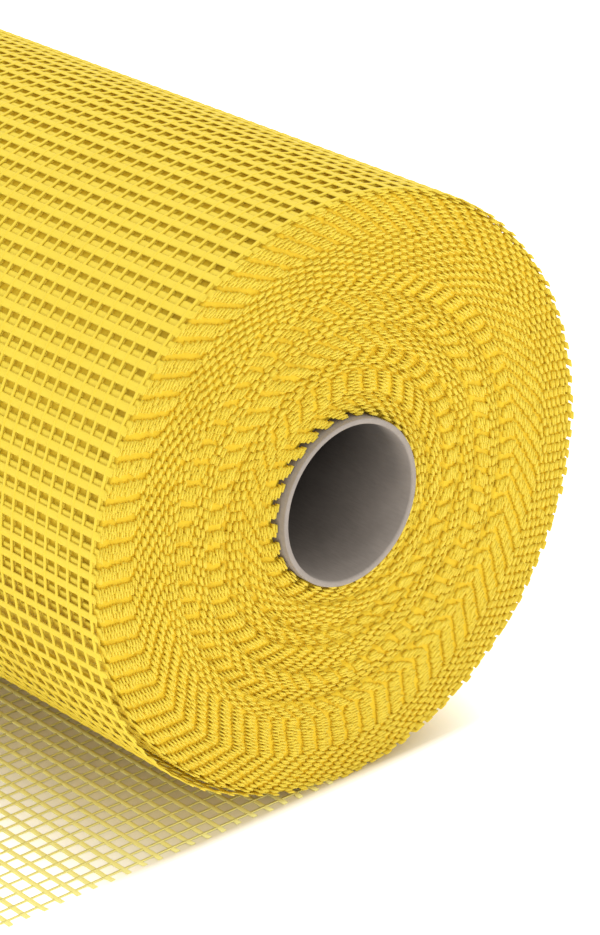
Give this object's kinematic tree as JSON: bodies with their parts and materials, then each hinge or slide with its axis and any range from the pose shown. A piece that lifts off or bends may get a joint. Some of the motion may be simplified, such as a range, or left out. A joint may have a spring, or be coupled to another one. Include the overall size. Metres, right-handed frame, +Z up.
{
  "type": "roll of fiberglass mesh",
  "caption": "Roll of yellow alkali-resistant glass fibre reinforcing mesh on a cardboard core, lying on its side with the loose end run out flat on the floor.",
  "frame": {"origin": "on the floor under the roll's axis, halfway along the roll", "axes": "+X along the roll's axis, +Z up, with the loose end lying towards -Y"},
  "size_m": [1.0034, 0.3409, 0.1819],
  "materials": {
    "coated_glass_mesh": "yellow coated glass yarn, slightly glossy",
    "core_board": "matt grey-brown wound board"
  },
  "bodies": {
    "root": {"mesh_web": "coated_glass_mesh", "core_tube": "core_board"}
  },
  "joints": []
}
